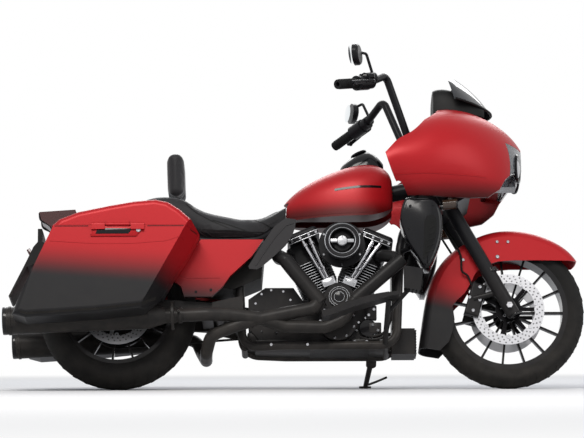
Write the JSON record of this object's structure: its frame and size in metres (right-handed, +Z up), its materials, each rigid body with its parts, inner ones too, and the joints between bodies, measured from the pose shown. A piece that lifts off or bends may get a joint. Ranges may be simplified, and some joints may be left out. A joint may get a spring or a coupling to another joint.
{
  "type": "touring cruiser motorcycle",
  "caption": "Air-cooled V-twin touring motorcycle with a frame-mounted fairing, hard saddlebags with lids and a passenger backrest, leaning on its side stand",
  "frame": {"origin": "bottom centre of the bounding box, on the ground", "axes": "+X forward along the wheelbase, +Y to the rider's left, +Z up; the bike leans about 12.5 degrees to +Y on its side stand"},
  "size_m": [2.4004, 1.1528, 1.4318],
  "materials": {
    "frame_black": "satin powder coat",
    "black_metal": "satin black",
    "engine_black": "wrinkle black",
    "belt_rubber": "matt",
    "chrome": "polished",
    "exhaust_black": "satin heat-proof black",
    "red_paint": "candy red, fading to black at lower edges",
    "gloss_black": "gloss",
    "seat_cover": "grained vinyl",
    "grey_plastic": "satin",
    "lens_clear": "clear lens over reflectors",
    "black_plastic": "fine grain",
    "smoked_screen": "smoked",
    "lens_red": "dark red lens",
    "lens_smoke": "smoked lens",
    "grip_rubber": "matt",
    "tyre": "matt rubber",
    "wheel_black": "gloss black",
    "steel": "turned"
  },
  "bodies": {
    "chassis": {"frame": "frame_black", "swingarm": "frame_black", "rear_shocks": "black_metal", "rear_caliper": "black_metal", "engine_case": "engine_black", "drive_belt": "belt_rubber", "cylinders": "engine_black", "rocker_covers": "engine_black", "cam_cover": "engine_black", "primary_cover": "engine_black", "pushrod_tubes": "chrome", "air_cleaner": "engine_black", "exhaust_pipes": "exhaust_black", "mufflers": "exhaust_black", "fuel_tank": "red_paint", "tank_console": "gloss_black", "seat": "seat_cover", "backrest_pad": "seat_cover", "backrest_frame": "black_metal", "rear_fender": "red_paint", "battery_box": "black_plastic", "oil_cooler": "black_metal", "side_covers": "red_paint", "heat_deflector": "grey_plastic", "left_saddlebag": "red_paint", "right_saddlebag": "red_paint", "headlamp": "lens_clear", "fairing": "red_paint", "dash": "black_plastic", "windscreen": "smoked_screen", "lower_fairings": "gloss_black", "footboards": "black_metal", "brake_pedal": "black_metal", "tail_lamp": "lens_red", "plate_holder": "black_plastic", "regulator": "black_metal", "turn_signals": "lens_smoke"},
    "steering": {"fork_legs": "black_metal", "fork_clamps": "black_metal", "handlebar": "black_metal", "grips": "grip_rubber", "bar_controls": "black_metal", "mirrors": "black_metal", "front_fender": "red_paint", "front_calipers": "black_metal"},
    "front_wheel_set": {"front_tyre": "tyre", "front_wheel": "wheel_black", "front_discs": "steel"},
    "rear_wheel_set": {"rear_tyre": "tyre", "rear_wheel": "wheel_black", "rear_disc": "steel", "rear_pulley": "wheel_black"},
    "stand": {"side_stand": "frame_black"},
    "left_lid": {"left_bag_lid": "red_paint"},
    "right_lid": {"right_bag_lid": "red_paint"}
  },
  "joints": [
    {"name": "steering", "type": "hinge", "parent": "chassis", "child": "steering", "pos_m": [0.62588, 0.0059, 0.86627], "axis": [-0.4384, 0.1945, 0.8775], "range_deg": [-35, 35]},
    {"name": "front_wheel_spin", "type": "hinge", "parent": "steering", "child": "front_wheel_set", "pos_m": [0.88453, -0.11667, 0.31339], "axis": [0, 0.9763, -0.2164], "continuous": true},
    {"name": "rear_wheel_spin", "type": "hinge", "parent": "chassis", "child": "rear_wheel_set", "pos_m": [-0.74047, -0.11474, 0.32209], "axis": [0, 0.9763, -0.2164], "continuous": true},
    {"name": "stand_hinge", "type": "hinge", "parent": "chassis", "child": "stand", "pos_m": [0.31853, 0.00791, 0.11298], "axis": [0, 0.617, 0.7869], "range_deg": [0, 80]},
    {"name": "left_lid_hinge", "type": "hinge", "parent": "chassis", "child": "left_lid", "pos_m": [-0.71947, 0.38995, 0.47794], "axis": [-1, 0, 0], "range_deg": [0, 80]},
    {"name": "right_lid_hinge", "type": "hinge", "parent": "chassis", "child": "right_lid", "pos_m": [-0.71947, -0.50628, 0.67664], "axis": [1, 0, 0], "range_deg": [0, 80]}
  ]
}
